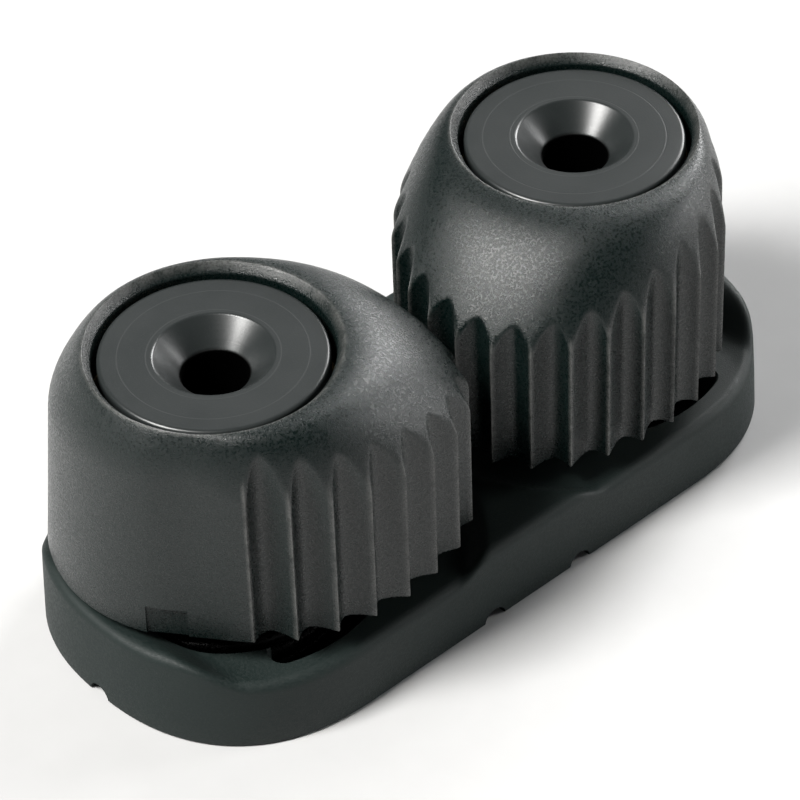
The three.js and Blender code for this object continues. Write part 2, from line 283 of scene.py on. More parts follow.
# Base
def base_point(degrees, inset, z):
    """A point of the base's outline, inset from its full size at the foot."""
    turn = math.radians(degrees)
    draft = BASE_DRAFT * z / BASE_TOP_Z
    across = math.sin(turn)
    reach = abs(math.cos(turn)) ** (2 / BASE_END_POWER)
    width = BASE_HALF_WIDTH - inset - draft
    length = BASE_HALF_LENGTH - inset - draft - BASE_STRAIGHT
    x = BASE_STRAIGHT + length * reach
    y = width * abs(across) ** (2 / BASE_END_POWER)
    return (math.copysign(x, math.cos(turn)), math.copysign(y, across), z)


def sweep_radius(degrees):
    """The edge of the dished floor: wide in front, at the back and inboard, tight at the end."""
    return SWEEP_RADIUS + (RIM_INNER_RADIUS - SWEEP_RADIUS) * blend_over(
        abs(degrees), RIM_FROM, RIM_TO)


def top_height(x, y):
    """The base's top: a floor dished under each cam, with a soft climb to what stands proud."""
    proud = 1.0
    for side in SIDES.values():
        across = PIVOT_X - side * x
        angle = math.degrees(math.atan2(y, across))
        edge = sweep_radius(angle)
        ramp = LIP_WIDTH + (RAMP_WIDTH - LIP_WIDTH) * blend_over(abs(angle), 80, 118)
        proud *= blend_over(math.hypot(across, y), edge - ramp * 0.35, edge + ramp * 0.65)
    return (SWEEP_FLOOR_Z + (BASE_TOP_Z - SWEEP_FLOOR_Z) * proud
            + END_RISE * blend_over(abs(x), *END_RISE_X))


def base_ring(inset, drop):
    """A closed ring inside the outline, that far below the top's own height."""
    half = [-90 + 180 * (step + 0.5) / BASE_END_POINTS for step in range(BASE_END_POINTS)]
    ring = []
    for start in (0, 180):
        ring += [base_point(angle + start, inset, BASE_TOP_Z) for angle in half]
        first, last = ring[-1], base_point(half[0] + 180 - start, inset, BASE_TOP_Z)
        ring += [tuple(Vector(first).lerp(Vector(last), step / BASE_SIDE_POINTS))
                 for step in range(1, BASE_SIDE_POINTS)]
    return [(x, y, top_height(x, y) - drop) for x, y, _ in ring]


def foot_ring(inset, z):
    """One level of the base's side below its rounded edge."""
    half = [-90 + 180 * (step + 0.5) / BASE_END_POINTS for step in range(BASE_END_POINTS)]
    ring = []
    for start in (0, 180):
        ring += [base_point(angle + start, inset, z) for angle in half]
        first, last = ring[-1], base_point(half[0] + 180 - start, inset, z)
        ring += [tuple(Vector(first).lerp(Vector(last), step / BASE_SIDE_POINTS))
                 for step in range(1, BASE_SIDE_POINTS)]
    return ring


def make_base():
    rings = []
    for step in range(4):
        turn = math.radians(90 * step / 3)
        rings.append(foot_ring(BASE_FOOT_EDGE * (1 - math.sin(turn)),
                               BASE_FOOT_EDGE * (1 - math.cos(turn))))
    rings += [foot_ring(0, 2.0), foot_ring(0, 3.5)]
    for step in range(9):
        turn = math.radians(90 * step / 8)
        rings.append(base_ring(BASE_EDGE * (1 - math.cos(turn)),
                               BASE_EDGE * (1 - math.sin(turn))))
    inset = BASE_EDGE
    while inset < BASE_HALF_WIDTH - BASE_DRAFT - 0.5:
        inset += 0.33
        rings.append(base_ring(inset, 0))
    base = lofted("base_moulding", rings)
    for side in SIDES.values():
        for tool in base_cutters(side):
            combine(base, tool, "DIFFERENCE")
    smooth(base, 32)
    return base


def around_pivot(side, radius, degrees, z):
    """A point about the pivot of one side; the right side is the left one mirrored."""
    x, y, _ = polar(radius, degrees)
    return (side * (PIVOT_X - x), y, z)


def slot_point(step, steps, grow):
    """A point of the curved slot's outline, grown outwards."""
    inner, outer = SLOT_RADII
    middle, half = (inner + outer) / 2, (outer - inner) / 2
    inset = math.degrees(half / middle)
    first, last = SLOT_ENDS[0] + inset, SLOT_ENDS[1] - inset
    quarter = steps // 4
    part, t = divmod(step, quarter)
    t /= quarter
    if part == 0:
        return polar(outer + grow, first + (last - first) * t)
    if part == 2:
        return polar(inner - grow, last + (first - last) * t)
    centre = Vector(polar(middle, last if part == 1 else first))
    turn = (last if part == 1 else first + 180) + 180 * t
    return tuple(centre + Vector(polar(half + grow, turn)))


def slot_tool(side):
    steps = 160
    rings = []
    for grow, z in ((0, SLOT_FLOOR_Z), (0, SWEEP_FLOOR_Z - 0.25), (0.05, SWEEP_FLOOR_Z - 0.1),
                    (0.2, SWEEP_FLOOR_Z + 0.02), (0.2, SWEEP_FLOOR_Z + 0.6)):
        ring = []
        for step in range(steps):
            x, y, _ = slot_point(step, steps, grow)
            ring.append((side * (PIVOT_X - x), y, z))
        rings.append(ring)
    return lofted("slot", rings)


def base_cutters(side):
    """The tools for one side, in the order they are used."""
    centre = side * PIVOT_X
    above = SWEEP_FLOOR_Z + 0.7
    inner, outer = WELL_RADII
    yield turned("well", [
        (inner, WELL_FLOOR_Z), (outer, WELL_FLOOR_Z), (outer, SWEEP_FLOOR_Z - 0.2),
        (outer + 0.17, SWEEP_FLOOR_Z + 0.02), (outer + 0.17, above), (inner - 0.17, above),
        (inner - 0.17, SWEEP_FLOOR_Z + 0.02), (inner, SWEEP_FLOOR_Z - 0.2)], centre, 128)
    yield slot_tool(side)
    yield turned("bore", [
        (0.001, SPIGOT_Z - 0.3), (SPIGOT_RADIUS + 0.3, SPIGOT_Z - 0.3),
        (SPIGOT_RADIUS + 0.3, above), (0.001, above)], centre, 96)
    yield turned("screw_hole", [
        (0.001, -1), (SCREW_RADIUS + 0.2, -1), (SCREW_RADIUS + 0.2, -0.02),
        (SCREW_RADIUS, 0.2), (SCREW_RADIUS, 2), (0.001, 2)], centre, 96)
    yield channel_tool((centre + side * 9.99, 0, 0), (side * 40, 0, 0))
    yield channel_tool((side * DRAIN_X, -20, 0), (side * DRAIN_X, 20, 0))
    near, far, half_width, height = POCKET
    yield block("pocket", (far - near, 2 * half_width, 2 * height),
                (side * (near + far) / 2, 0, 0), edge=0.3)


def channel_tool(start, end):
    """A round drain channel, straight from start to end."""
    start, end = Vector(start), Vector(end)
    along = (end - start).normalized()
    across = along.cross(Vector((0, 0, 1)))
    rings = []
    for place in (start, end):
        ring = []
        for step in range(48):
            turn = 2 * math.pi * step / 48
            x, z = DRAIN_RADIUS * math.cos(turn), DRAIN_RADIUS * math.sin(turn)
            ring.append(tuple(place + across * x + Vector((0, 0, z))))
        rings.append(ring)
    return lofted("drain", rings)


# Cam
def tip_radius(degrees):
    """The cam's outline over the tips of its teeth, at its foot."""
    count = len(CAM_RADII)
    position = (degrees + 180) % 360 / (360 / count)
    number = int(position)
    t = position - number
    a, b, c, d = (CAM_RADII[(number + shift) % count] for shift in (-1, 0, 1, 2))
    return b + 0.5 * t * (c - a + t * (2 * a - 5 * b + 4 * c - d + t * (3 * (b - c) + d - a)))


def tooth_angles(start):
    tips = [start]
    while tips[-1] < FLUTE_TO:
        here = tips[-1]
        radius = tip_radius(here)
        rise = (tip_radius(here + 1) - radius) / math.radians(1)
        tips.append(here + math.degrees(FLUTE_PITCH / math.hypot(radius, rise)))
    return tips


def flute_depth(reach):
    """The depth of a round-bottomed flute, that far in from the crest of its ridge."""
    half = FLUTE_PITCH / 2
    radius = (half ** 2 + FLUTE_DEPTH ** 2) / (2 * FLUTE_DEPTH)
    off = half - min(reach, half)
    arc = math.sqrt(radius ** 2 - off ** 2) - (radius - FLUTE_DEPTH)
    return 0.35 * arc + 0.65 * FLUTE_DEPTH * (1 - (off / half) ** 2)


def cam_columns(start):
    """(angle, depth below the tips, softness of the shoulder's corner) all round the cam."""
    tips = tooth_angles(start)
    columns = []
    for first, last in zip(tips, tips[1:]):
        for step in range(COLUMNS_PER_FLUTE):
            even = step / COLUMNS_PER_FLUTE
            t = 0.55 * even + 0.45 * 0.5 * (1 - math.cos(math.pi * even))
            reach = FLUTE_PITCH * min(t, 1 - t)
            reach = math.hypot(reach, RIDGE_ROUNDING) - RIDGE_ROUNDING
            columns.append((first + (last - first) * t, flute_depth(reach),
                            0.25 + 0.65 * math.exp(-(reach / 0.4) ** 2)))
    gap = tips[0] + 360 - tips[-1]
    for step in range(BARREL_COLUMNS):
        t = step / BARREL_COLUMNS
        far = gap * min(t, 1 - t)
        columns.append((tips[-1] + gap * t, 0.0, 0.9 + 0.6 * blend_over(far, 0, 14)))
    return columns


def lean(degrees, z):
    share = max(0.0, 0.1 + 0.9 * math.cos(math.radians(degrees - BARREL_DRAFT_ANGLE)))
    return BARREL_DRAFT * share * (z - CAM_BOTTOM_Z)


def cam_section(degrees, depth, corner):
    """The cam's cut face at one angle, as (radius, z), from the foot up and round."""
    turn = (degrees + 180) % 360 - 180
    tail_side = blend_over(turn, -140, -112)
    fall = (4.3 + 1.8 * math.cos(math.radians(turn - 60))
            + TAIL_SIDE_FALL * tail_side * (1 - blend_over(turn, -30, 25)))
    power = (1.55 + 0.35 * math.cos(math.radians(turn))
             + TAIL_SIDE_ROUNDNESS * tail_side * (1 - blend_over(turn, -90, -20)))
    foot_z = CAM_TOP_Z - fall
    top_wall = tip_radius(degrees) - lean(degrees, foot_z) - RIM_RADIUS
    share = max(0.15, 1 - depth / top_wall) ** power
    crease_z = CAM_TOP_Z - fall * share

    def wall(z):
        return tip_radius(degrees) - lean(degrees, min(z, foot_z)) - depth

    def shoulder(v):
        return (RIM_RADIUS + top_wall * share ** (1 / power) * v,
                CAM_TOP_Z - fall * share * v ** power)

    foot = 0.18
    section = [(RACE_RADIUS + 0.25, CAM_BOTTOM_Z)]
    for step in range(4):
        turn = math.radians(90 * step / 3)
        section.append((wall(CAM_BOTTOM_Z) - foot * (1 - math.sin(turn)),
                        CAM_BOTTOM_Z + foot * (1 - math.cos(turn))))
    for step in range(1, 6):
        z = CAM_BOTTOM_Z + foot + (crease_z - corner - CAM_BOTTOM_Z - foot) * step / 6
        section.append((wall(z), z))
    run = math.hypot(top_wall * share ** (1 / power), fall * share)
    v_start = 1 - corner / run
    low = Vector((wall(crease_z - corner), crease_z - corner))
    mid = Vector(shoulder(1))
    high = Vector(shoulder(v_start))
    for step in range(7):
        t = step / 6
        section.append(tuple(low * (1 - t) ** 2 + mid * 2 * t * (1 - t) + high * t * t))
    for step in range(1, SHOULDER_ROWS):
        section.append(shoulder(v_start * (1 - step / SHOULDER_ROWS)))
    inner = [
        shoulder(0.03), (RIM_RADIUS, CAM_TOP_Z), (KEEPER_RADIUS, KEEPER_Z[1]),
        (KEEPER_RADIUS, KEEPER_Z[0]), (RACE_RADIUS, KEEPER_Z[0] - 0.3),
        (RACE_RADIUS, UPPER_SHELF_Z), (CAM_BORE_RADIUS, UPPER_SHELF_Z),
        (CAM_BORE_RADIUS, LOWER_SHELF_Z), (RACE_RADIUS, LOWER_SHELF_Z),
        (RACE_RADIUS, CAM_BOTTOM_Z + 0.25)]
    section += rounded(inner, [0, 0.14, 0.12, 0.1, 0.1, 0.8, 0.3, 0.3, 0.8, 0], 4)
    section.append(section[0])
    return section


def make_cam(name):
    side = SIDES[name]
    columns = cam_columns(FLUTE_FROM[name])
    sections = [cam_section(*column) for column in columns]
    rings = []
    for row in zip(*sections):
        rings.append([around_pivot(side, radius, column[0], z)
                      for (radius, z), column in zip(row, columns)])
    cam = lofted(f"cam_{name}_moulding", rings, around=True)
    angle, radius, thickness, width, bottom = LUG
    height = CAM_BOTTOM_Z + 1 - bottom
    lug = block("lug", (thickness, width, height),
                around_pivot(side, radius, angle, bottom + height / 2),
                turn=-side * angle, edge=0.25)
    combine(cam, lug, "UNION")
    hole = around_pivot(side, LEG_RADIUS, LEG_ANGLE, 0)
    leg_hole = turned("leg_hole", [(0.001, 7), (0.9, 7), (0.9, 10.7), (0.001, 10.7)], 0, 32)
    leg_hole.data.transform(Matrix.Translation(Vector(hole) * MM))
    combine(cam, leg_hole, "DIFFERENCE")
    angle, width, height, depth = WINDOW
    wall = tip_radius(angle)
    facing = angle - math.degrees(math.atan2(tip_radius(angle + 1) - wall, wall * math.radians(1)))
    pane = block("window", (2 * depth, width, height + 1),
                 around_pivot(side, wall - lean(angle, CAM_BOTTOM_Z + height / 2), angle,
                              CAM_BOTTOM_Z + (height - 1) / 2),
                 turn=-side * facing, edge=0.08)
    pane.data.materials.append(window_finish)
    cam.data.materials.append(cam_finish)
    combine(cam, pane, "DIFFERENCE")
    smooth(cam, 50)
    mark_wear_and_highlight(cam, side, tooth_angles(FLUTE_FROM[name]))
    return cam


def mark_wear_and_highlight(cam, side, tips):
    """Stores how near each vertex lies to the crest of a tooth or to the rim's lip: a mask that is
    partly real rubbed wear and partly a painted highlight along these edges.
    """
    crest = cam.data.attributes.new("crest", "FLOAT", "POINT")
    values = []
    for vert in cam.data.vertices:
        x, y, z = vert.co / MM
        x = PIVOT_X - side * x
        angle, radius = math.degrees(math.atan2(y, x)), math.hypot(x, y)
        near = min(abs(angle - tip) for tip in tips)
        arc = math.radians(near) * radius
        rim = tip_radius(angle) - lean(angle, z)
        value = math.exp(-(arc / 0.13) ** 2) * blend_over(radius, rim - 0.5, rim - 0.2)
        value *= blend_over(radius, RIM_RADIUS + 1, RIM_RADIUS + 2)
        # the rim's lip: a lighter band, partly wear and partly painted highlight
        value = max(value, 0.7 * math.exp(-((radius - RIM_RADIUS) / 0.16) ** 2)
                    * blend_over(z, CAM_TOP_Z - 0.4, CAM_TOP_Z - 0.15))
        values.append(value)
    crest.data.foreach_set("value", values)


# Hub, washer, balls and spring
def make_hub(side, name):
    section = [
        (SCREW_RADIUS, SPIGOT_Z), (SPIGOT_RADIUS, SPIGOT_Z), (SPIGOT_RADIUS, 6.3),
        (STEM_RADIUS, 6.3), (STEM_RADIUS, DISC_BOTTOM_Z), (DISC_RADIUS, DISC_BOTTOM_Z),
        (DISC_RADIUS, DISC_TOP_Z), (SINK_RADIUS, DISC_TOP_Z),
        (SCREW_RADIUS + 0.02, DISC_TOP_Z - (SINK_RADIUS - SCREW_RADIUS)),
        (SCREW_RADIUS, DISC_TOP_Z - (SINK_RADIUS - SCREW_RADIUS) - 0.4)]
    radii = [0.15, 0.3, 0.1, 0.15, 0.3, 0.25, 0.38, 0.16, 0.15, 0.1]
    hub = turned(f"hub_{name}_turning", rounded(section, radii, 5), side * PIVOT_X, 144)
    smooth(hub, 50)
    return hub


def make_washer(side, name):
    inner, outer, bottom, top = WASHER
    section = rounded([(inner, bottom), (outer, bottom), (outer, top), (inner, top)], 0.18, 3)
    groove = [(BALL_CIRCLE - 0.6 + 1.2 * step / 8, top - 0.05 * math.sin(math.pi * step / 8))
              for step in range(9)]
    cut = next(number for number, (radius, z) in enumerate(section)
               if z > top - 1e-4 and radius < BALL_CIRCLE)
    section = section[:cut] + groove[::-1] + section[cut:]
    washer = turned(f"lower_race_{name}_washer", section, side * PIVOT_X, 112)
    smooth(washer, 40)
    return washer


def make_ball():
    put_down()
    bpy.ops.mesh.primitive_cube_add(size=2 * BALL_RADIUS * MM, location=(0, 0, 0))
    ball = bpy.context.object
    bpy.ops.object.mode_set(mode="EDIT")
    bpy.ops.mesh.select_all(action="SELECT")
    bpy.ops.mesh.subdivide(number_cuts=7)
    put_down()
    for vert in ball.data.vertices:
        vert.co = vert.co.normalized() * BALL_RADIUS * MM
    pick_up(ball)
    bpy.ops.object.shade_smooth()
    put_down()
    return ball


def wire_path():
    """The spring wire's centre line about the pivot: a coil, then a leg turned up."""
    def coil(turns):
        return polar(SPRING_RADIUS, LEG_ANGLE - 20 - 360 * (SPRING_TURNS - turns),
                     SPRING_BOTTOM_Z + SPRING_PITCH * turns)
    path = [Vector(coil(SPRING_TURNS * step / 120)) for step in range(121)]
    top = SPRING_BOTTOM_Z + SPRING_PITCH * SPRING_TURNS
    guide = [path[-6], path[-1],
             Vector(polar((SPRING_RADIUS + LEG_RADIUS) / 2 + 0.4, LEG_ANGLE - 5, top + 0.2)),
             Vector(polar(LEG_RADIUS, LEG_ANGLE, top + 1.2)),
             Vector(polar(LEG_RADIUS, LEG_ANGLE, (top + LEG_TOP_Z) / 2 + 1)),
             Vector(polar(LEG_RADIUS, LEG_ANGLE, LEG_TOP_Z))]
    guide.append(guide[-1] + (guide[-1] - guide[-2]))
    for number in range(1, len(guide) - 2):
        a, b, c, d = guide[number - 1:number + 3]
        for step in range(1, 9):
            t = step / 8
            path.append(b + 0.5 * t * (c - a + t * (2 * a - 5 * b + 4 * c - d
                                                    + t * (3 * (b - c) + d - a))))
    return path


def make_spring(side, name):
    path = wire_path()
    rings = []
    across = Vector((0, 0, 1))
    for number, place in enumerate(path):
        ahead = path[min(number + 1, len(path) - 1)] - path[max(number - 1, 0)]
        ahead.normalize()
        across = (across - ahead * across.dot(ahead)).normalized()
        other = ahead.cross(across)
        reach = WIRE_RADIUS * (0.8 if number in (0, len(path) - 1) else 1)
        ring = []
        for step in range(16):
            turn = 2 * math.pi * step / 16
            spot = place + (across * math.cos(turn) + other * math.sin(turn)) * reach
            ring.append((side * (PIVOT_X - spot.x), spot.y, spot.z))
        rings.append(ring)
    spring = lofted(f"spring_{name}_wire", rings)
    smooth(spring, 50)
    return spring


# Finishes
def node_group(name, inputs, outputs):
    """A shared effect: returns the group and its two end nodes."""
    tree = bpy.data.node_groups.new(name, "ShaderNodeTree")
    for label, kind, value in inputs:
        socket = tree.interface.new_socket(name=label, in_out="INPUT", socket_type=kind)
        if value is not None:
            socket.default_value = value
    for label, kind in outputs:
        tree.interface.new_socket(name=label, in_out="OUTPUT", socket_type=kind)
    return tree, tree.nodes.new("NodeGroupInput"), tree.nodes.new("NodeGroupOutput")


def add(tree, kind, **values):
    node = tree.nodes.new(kind)
    for key, value in values.items():
        if key in node.inputs:
            node.inputs[key].default_value = value
        else:
            setattr(node, key, value)
    return node


def maths(tree, operation, first, second=None, third=None):
    node = tree.nodes.new("ShaderNodeMath")
    node.operation = operation
    for socket, value in zip(node.inputs, (first, second, third)):
        if value is None:
            continue
        if isinstance(value, (int, float)):
            socket.default_value = value
        else:
            tree.links.new(value, socket)
    return node.outputs[0]


def spread(tree, value, low, high, to_low=0.0, to_high=1.0):
    """Carries low to high onto a new range, with smooth ends."""
    node = tree.nodes.new("ShaderNodeMapRange")
    node.interpolation_type = "SMOOTHSTEP"
    tree.links.new(value, node.inputs["Value"])
    for key, number in (("From Min", low), ("From Max", high),
                        ("To Min", to_low), ("To Max", to_high)):
        node.inputs[key].default_value = number
    return node.outputs["Result"]


def noise(tree, vector, scale, detail=2.0, rough=0.5):
    node = add(tree, "ShaderNodeTexNoise", Scale=scale, Detail=detail, Roughness=rough)
    tree.links.new(vector, node.inputs["Vector"])
    return node.outputs["Fac"]


def make_grain_group():
    """Spark-eroded mould texture and the flecks of a filled plastic."""
    tree, start, end = node_group(
        "moulded grain",
        [("Vector", "NodeSocketVector", None), ("Size", "NodeSocketFloat", 0.2)],
        [("Height", "NodeSocketFloat"), ("Flecks", "NodeSocketFloat"),
         ("Mottle", "NodeSocketFloat"), ("Cloud", "NodeSocketFloat")])
    scaled = tree.nodes.new("ShaderNodeVectorMath")
    scaled.operation = "SCALE"
    tree.links.new(start.outputs["Vector"], scaled.inputs[0])
    tree.links.new(maths(tree, "DIVIDE", 1000.0, start.outputs["Size"]), scaled.inputs["Scale"])
    fine = noise(tree, scaled.outputs[0], 1.0, 3.0, 0.65)
    pits = add(tree, "ShaderNodeTexVoronoi", Scale=0.9)
    tree.links.new(scaled.outputs[0], pits.inputs["Vector"])
    height = maths(tree, "ADD", maths(tree, "MULTIPLY", fine, 0.7),
                   maths(tree, "MULTIPLY", pits.outputs["Distance"], 0.35))
    flecks = spread(tree, noise(tree, scaled.outputs[0], 1.3, 2.0, 0.6), 0.56, 0.72)
    mottle = spread(tree, noise(tree, scaled.outputs[0], 0.45, 2.0, 0.6), 0.3, 0.7)
    cloud = spread(tree, noise(tree, scaled.outputs[0], 0.03, 3.0, 0.5), 0.3, 0.7)
    for label, value in (("Height", height), ("Flecks", flecks),
                         ("Mottle", mottle), ("Cloud", cloud)):
        tree.links.new(value, end.inputs[label])
    return tree


def make_wear_and_highlight_group():
    """Breaks a smooth mask of wear and painted highlight up into short rubbed patches."""
    tree, start, end = node_group(
        "rubbed edge and painted highlight",
        [("Vector", "NodeSocketVector", None), ("Mask", "NodeSocketFloat", 0.0),
         ("Amount", "NodeSocketFloat", 1.0)],
        [("WearAndHighlight", "NodeSocketFloat")])
    patches = spread(tree, noise(tree, start.outputs["Vector"], 900.0, 3.0, 0.6), 0.3, 0.62, 0.35, 1.0)
    wear_and_highlight = maths(tree, "MULTIPLY", start.outputs["Mask"], patches)
    wear_and_highlight = maths(tree, "MULTIPLY", wear_and_highlight, start.outputs["Amount"])
    tree.links.new(wear_and_highlight, end.inputs["WearAndHighlight"])
    return tree


def make_rings_group():
    """Fine turning rings about a vertical axis, with two deeper witness rings, and a mask of the screw
    bore where painted shade goes.
    """
    tree, start, end = node_group(
        "turning rings",
        [("Vector", "NodeSocketVector", None), ("Inner", "NodeSocketFloat", 5.15),
         ("Outer", "NodeSocketFloat", 7.35)],
        [("Lines", "NodeSocketFloat"), ("Witness", "NodeSocketFloat"),
         ("PaintedBoreShade", "NodeSocketFloat")])
    split = tree.nodes.new("ShaderNodeSeparateXYZ")
    tree.links.new(start.outputs["Vector"], split.inputs[0])
    across = maths(tree, "SUBTRACT", maths(tree, "ABSOLUTE", split.outputs["X"]), PIVOT_X * MM)
    radius = maths(tree, "SQRT", maths(
        tree, "ADD", maths(tree, "MULTIPLY", across, across),
        maths(tree, "MULTIPLY", split.outputs["Y"], split.outputs["Y"])))
    radius = maths(tree, "MULTIPLY", radius, 1000.0)
    combine_node = tree.nodes.new("ShaderNodeCombineXYZ")
    tree.links.new(radius, combine_node.inputs["X"])
    lines = noise(tree, combine_node.outputs[0], 9.0, 4.0, 0.7)
    rings = []
    for label in ("Inner", "Outer"):
        away = maths(tree, "ABSOLUTE", maths(tree, "SUBTRACT", radius, start.outputs[label]))
        rings.append(spread(tree, away, 0.0, 0.09, 1.0, 0.0))
    tree.links.new(lines, end.inputs["Lines"])
    # painted shade: a mask of the screw bore, which the hub paints near-black
    tree.links.new(spread(tree, radius, SCREW_RADIUS + 0.05, SCREW_RADIUS + 0.3, 1.0, 0.0),
                   end.inputs["PaintedBoreShade"])
    tree.links.new(maths(tree, "MAXIMUM", *rings), end.inputs["Witness"])
    return tree


def use(tree, group, vector, **values):
    node = tree.nodes.new("ShaderNodeGroup")
    node.node_tree = group
    tree.links.new(vector, node.inputs["Vector"])
    for key, value in values.items():
        if isinstance(value, (int, float)):
            node.inputs[key].default_value = value
        else:
            tree.links.new(value, node.inputs[key])
    return node


def finish_base(name, roughness, specular=0.5, metallic=0.0):
    """A new finish: its tree, its Principled node and its object coordinates."""
    finish = bpy.data.materials.new(name)
    finish.use_nodes = True
    tree = finish.node_tree
    shader = tree.nodes["Principled BSDF"]
    shader.inputs["Roughness"].default_value = roughness
    shader.inputs["Specular IOR Level"].default_value = specular
    shader.inputs["Metallic"].default_value = metallic
    place = tree.nodes.new("ShaderNodeTexCoord").outputs["Object"]
    return finish, tree, shader, place


def tint(tree, fac, dark, light):
    """A mix of two colours; either may be a colour or another tint."""
    node = tree.nodes.new("ShaderNodeMix")
    node.data_type = "RGBA"
    tree.links.new(fac, node.inputs["Factor"])
    for socket, colour in zip((node.inputs[6], node.inputs[7]), (dark, light)):
        if isinstance(colour, tuple):
            socket.default_value = (*colour, 1)
        else:
            tree.links.new(colour, socket)
    return node.outputs[2]


def bump(tree, shader, height, distance, strength=1.0):
    node = add(tree, "ShaderNodeBump", Strength=strength, Distance=distance * MM)
    tree.links.new(height, node.inputs["Height"])
    tree.links.new(node.outputs["Normal"], shader.inputs["Normal"])


def make_cam_finish(name="black filled nylon"):
    finish, tree, shader, place = finish_base(name, 0.5, 0.5)
    grain = use(tree, grain_group, place, Size=0.09)
    crest = tree.nodes.new("ShaderNodeAttribute")
    crest.attribute_name = "crest"
    wear_and_highlight = use(tree, wear_and_highlight_group, place, Mask=crest.outputs["Fac"], Amount=0.7).outputs["WearAndHighlight"]
    body = tint(tree, grain.outputs["Mottle"], (0.0004, 0.0042, 0.0038), (0.002, 0.0065, 0.006))
    body = tint(tree, grain.outputs["Flecks"], body, (0.022, 0.025, 0.023))
    # painted highlight and rubbed wear: lighter grey on the tooth crests and the rim's lip
    body = tint(tree, wear_and_highlight, body, (0.12, 0.12, 0.115))
    tree.links.new(body, shader.inputs["Base Color"])
    rough = spread(tree, grain.outputs["Mottle"], 0, 1, 0.22, 0.42)
    tree.links.new(maths(tree, "SUBTRACT", rough, maths(tree, "MULTIPLY", wear_and_highlight, 0.1)),
                   shader.inputs["Roughness"])
    bump(tree, shader, grain.outputs["Height"], 0.042)
    return finish


def make_window_finish():
    """The rough insert let into the barrel's foot."""
    finish, tree, shader, place = finish_base("rough insert", 0.75, 0.12)
    grain = use(tree, grain_group, place, Size=0.3)
    body = tint(tree, grain.outputs["Flecks"], (0.0008, 0.003, 0.0028), (0.02, 0.024, 0.023))
    tree.links.new(body, shader.inputs["Base Color"])
    bump(tree, shader, grain.outputs["Height"], 0.16)
    return finish


def make_base_finish():
    finish, tree, shader, place = finish_base("matte base nylon", 0.6, 0.32)
    grain = use(tree, grain_group, place, Size=0.1)
    body = tint(tree, grain.outputs["Cloud"], (0.0045, 0.0105, 0.0095), (0.006, 0.0125, 0.0112))
    body = tint(tree, grain.outputs["Mottle"], body, (0.0095, 0.016, 0.0148))
    body = tint(tree, grain.outputs["Flecks"], body, (0.021, 0.0265, 0.025))
    tree.links.new(body, shader.inputs["Base Color"])
    tree.links.new(spread(tree, grain.outputs["Mottle"], 0, 1, 0.52, 0.66),
                   shader.inputs["Roughness"])
    bump(tree, shader, grain.outputs["Height"], 0.022)
    return finish


def make_hub_finish():
    finish, tree, shader, place = finish_base("satin acetal", 0.42, 0.5)
    grain = use(tree, grain_group, place, Size=0.12)
    rings = use(tree, rings_group, place)
    body = tint(tree, grain.outputs["Cloud"], (0.014, 0.017, 0.017), (0.018, 0.021, 0.021))
    body = tint(tree, grain.outputs["Flecks"], body, (0.025, 0.028, 0.028))
    body = tint(tree, rings.outputs["Witness"], body, (0.030, 0.033, 0.033))
    # painted shade: the screw bore's wall is near-black, fully metallic and rough, as if in deep shade
    body = tint(tree, rings.outputs["PaintedBoreShade"], body, (0.001, 0.001, 0.001))
    tree.links.new(body, shader.inputs["Base Color"])
    tree.links.new(rings.outputs["PaintedBoreShade"], shader.inputs["Metallic"])
    rough = spread(tree, rings.outputs["Lines"], 0.3, 0.7, 0.28, 0.34)
    tree.links.new(maths(tree, "MAXIMUM", rough, rings.outputs["PaintedBoreShade"]), shader.inputs["Roughness"])
    height = maths(tree, "ADD", maths(tree, "MULTIPLY", grain.outputs["Height"], 0.5),
                   maths(tree, "MULTIPLY", rings.outputs["Lines"], 0.5))
    height = maths(tree, "SUBTRACT", height, rings.outputs["Witness"])
    bump(tree, shader, height, 0.008)
    return finish


def make_ball_finish():
    finish, tree, shader, place = finish_base("cream bearing polymer", 0.25, 0.5)
    grain = use(tree, grain_group, place, Size=0.4)
    body = tint(tree, grain.outputs["Mottle"], (0.42, 0.33, 0.19), (0.5, 0.41, 0.25))
    tree.links.new(body, shader.inputs["Base Color"])
    tree.links.new(spread(tree, grain.outputs["Mottle"], 0, 1, 0.2, 0.32),
                   shader.inputs["Roughness"])
    bump(tree, shader, grain.outputs["Height"], 0.003)
    return finish


def make_steel_finish(name, stretch, dark, light):
    """Steel with fine lines from grinding or drawing."""
    finish, tree, shader, place = finish_base(name, 0.3, 0.5, 1.0)
    grain = use(tree, grain_group, place, Size=0.1)
    rings = use(tree, rings_group, place)
    lines = rings.outputs["Lines"] if stretch else grain.outputs["Mottle"]
    body = tint(tree, lines, dark, light)
    tree.links.new(body, shader.inputs["Base Color"])
    tree.links.new(spread(tree, lines, 0.3, 0.7, 0.24, 0.4), shader.inputs["Roughness"])
    bump(tree, shader, lines, 0.006)
    return finish


def make_floor_finish():
    finish, tree, shader, place = finish_base("pale paper", 0.9, 0.2)
    body = tint(tree, noise(tree, place, 300.0, 4.0), (0.51, 0.51, 0.51), (0.54, 0.54, 0.54))
    tree.links.new(body, shader.inputs["Base Color"])
    return finish


def dress(piece, finish):
    if not piece.data.materials:
        piece.data.materials.append(finish)
    for number, held in enumerate(piece.data.materials):
        if held is None or held.name not in OWN_FINISHES:
            piece.data.materials[number] = finish


grain_group = make_grain_group()
wear_and_highlight_group = make_wear_and_highlight_group()
rings_group = make_rings_group()
cam_finish = make_cam_finish()
window_finish = make_window_finish()
base_finish = make_base_finish()
hub_finish = make_hub_finish()
ball_finish = make_ball_finish()
race_finish = make_steel_finish("ground washer steel", True, (0.42, 0.42, 0.41), (0.6, 0.6, 0.59))
